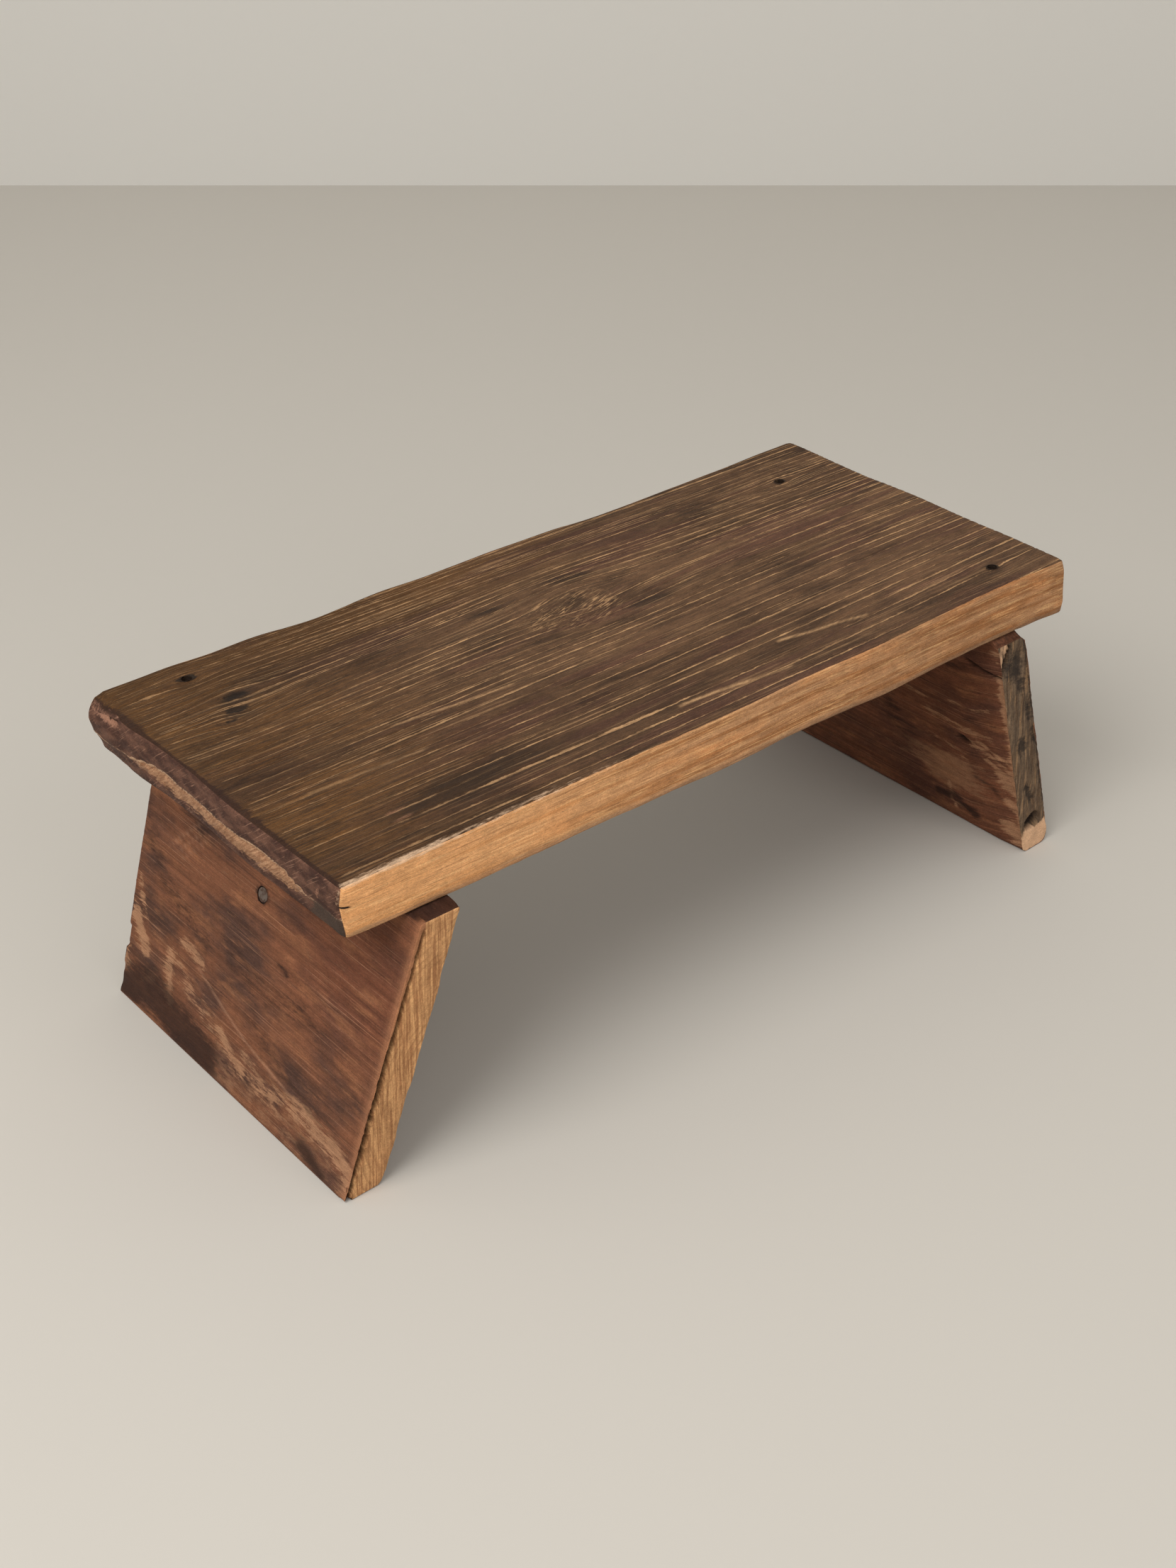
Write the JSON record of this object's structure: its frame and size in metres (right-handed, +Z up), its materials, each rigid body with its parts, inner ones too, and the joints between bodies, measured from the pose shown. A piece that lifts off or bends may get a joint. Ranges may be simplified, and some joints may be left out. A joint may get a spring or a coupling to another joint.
{
  "type": "low bench",
  "caption": "Low rustic teak bench: thick plank seat nailed to leaning slab legs, with a stretcher rail on edge underneath.",
  "frame": {"origin": "middle of the bench's bounding box, on the floor that the feet stand on", "axes": "+Z up; +X along the seat, from the end over the wider-splayed left leg to the right end; +Y across the bench, from its front edge to its back"},
  "size_m": [0.6132, 0.2888, 0.22],
  "materials": {
    "teak_seat": "wire-brushed dark brown teak with pale raised grain",
    "teak_left_leg": "worn reddish brown teak",
    "teak_right_leg": "worn dark reddish brown teak",
    "teak_rail": "sawn tan teak",
    "nail_steel": "dull grey, darkened by age"
  },
  "bodies": {
    "root": {"seat_plank": "teak_seat", "left_leg": "teak_left_leg", "right_leg": "teak_right_leg", "stretcher_rail": "teak_rail", "seat_nail_left_front": "nail_steel", "seat_nail_left_back": "nail_steel", "seat_nail_right_front": "nail_steel", "seat_nail_right_back": "nail_steel", "leg_nail_left": "nail_steel", "leg_nail_right": "nail_steel"}
  },
  "joints": []
}
